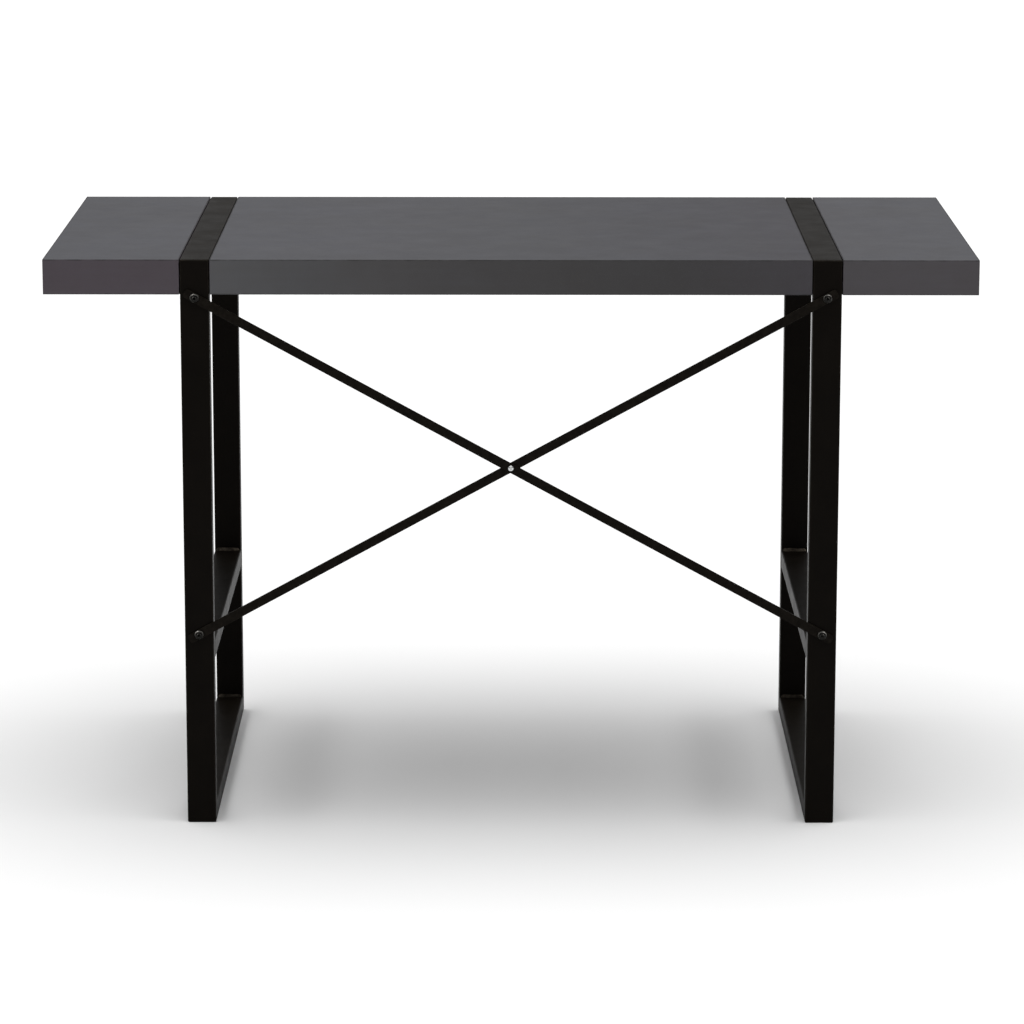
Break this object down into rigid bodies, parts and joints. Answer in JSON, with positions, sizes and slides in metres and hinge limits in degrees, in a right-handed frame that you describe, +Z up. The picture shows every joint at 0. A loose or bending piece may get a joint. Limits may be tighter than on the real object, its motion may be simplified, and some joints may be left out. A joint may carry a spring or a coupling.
{
  "type": "writing desk",
  "caption": "Long rectangular writing desk: three thick top panels held flush by two closed-loop steel leg frames, with a flat-bar X brace across one side.",
  "frame": {"origin": "bottom centre of the whole desk's box, on the floor", "axes": "+X along the desk, +Z up, -Y towards the side that carries the X brace, so the sitter is on the +Y side"},
  "size_m": [1.22, 0.608, 0.76],
  "materials": {
    "charcoal_laminate": "matte charcoal concrete-look laminate on board, faint cloudy mottling",
    "charcoal_edge_band": "matte charcoal edge band, a little darker than the top",
    "black_backing": "matt dark backing foil on thin board",
    "particle_board": "raw particle board",
    "honeycomb_paper": "brown paper honeycomb",
    "black_powder_coat": "black fine-texture powder coat, low sheen",
    "black_bolt": "black oxide socket bolt, slightly shiny",
    "zinc_plate": "bright zinc-plated steel"
  },
  "bodies": {
    "root": {"left_near_post": "black_powder_coat", "left_far_post": "black_powder_coat", "left_top_rail": "black_powder_coat", "left_bottom_rail": "black_powder_coat", "left_middle_rail": "black_powder_coat", "right_near_post": "black_powder_coat", "right_far_post": "black_powder_coat", "right_top_rail": "black_powder_coat", "right_bottom_rail": "black_powder_coat", "right_middle_rail": "black_powder_coat", "left_end_panel_top_skin": "charcoal_laminate", "left_end_panel_bottom_skin": "black_backing", "left_end_panel_frame": "particle_board", "left_end_panel_core": "honeycomb_paper", "left_end_panel_near_edge_band": "charcoal_edge_band", "left_end_panel_far_edge_band": "charcoal_edge_band", "left_end_panel_left_edge_band": "charcoal_edge_band", "left_end_panel_right_edge_band": "charcoal_edge_band", "centre_panel_top_skin": "charcoal_laminate", "centre_panel_bottom_skin": "black_backing", "centre_panel_frame": "particle_board", "centre_panel_core": "honeycomb_paper", "centre_panel_near_edge_band": "charcoal_edge_band", "centre_panel_far_edge_band": "charcoal_edge_band", "centre_panel_left_edge_band": "charcoal_edge_band", "centre_panel_right_edge_band": "charcoal_edge_band", "right_end_panel_top_skin": "charcoal_laminate", "right_end_panel_bottom_skin": "black_backing", "right_end_panel_frame": "particle_board", "right_end_panel_core": "honeycomb_paper", "right_end_panel_near_edge_band": "charcoal_edge_band", "right_end_panel_far_edge_band": "charcoal_edge_band", "right_end_panel_left_edge_band": "charcoal_edge_band", "right_end_panel_right_edge_band": "charcoal_edge_band", "left_near_carrier_plate": "black_powder_coat", "left_near_inner_panel_screw": "zinc_plate", "left_near_outer_panel_screw": "zinc_plate", "left_far_carrier_plate": "black_powder_coat", "left_far_inner_panel_screw": "zinc_plate", "left_far_outer_panel_screw": "zinc_plate", "right_near_carrier_plate": "black_powder_coat", "right_near_inner_panel_screw": "zinc_plate", "right_near_outer_panel_screw": "zinc_plate", "right_far_carrier_plate": "black_powder_coat", "right_far_inner_panel_screw": "zinc_plate", "right_far_outer_panel_screw": "zinc_plate", "falling_brace_bar": "black_powder_coat", "rising_brace_bar": "black_powder_coat", "brace_rivet": "zinc_plate", "left_upper_brace_bolt": "black_bolt", "left_upper_rivet_nut": "zinc_plate", "left_lower_brace_bolt": "black_bolt", "left_lower_rivet_nut": "zinc_plate", "right_upper_brace_bolt": "black_bolt", "right_upper_rivet_nut": "zinc_plate", "right_lower_brace_bolt": "black_bolt", "right_lower_rivet_nut": "zinc_plate"}
  },
  "joints": []
}
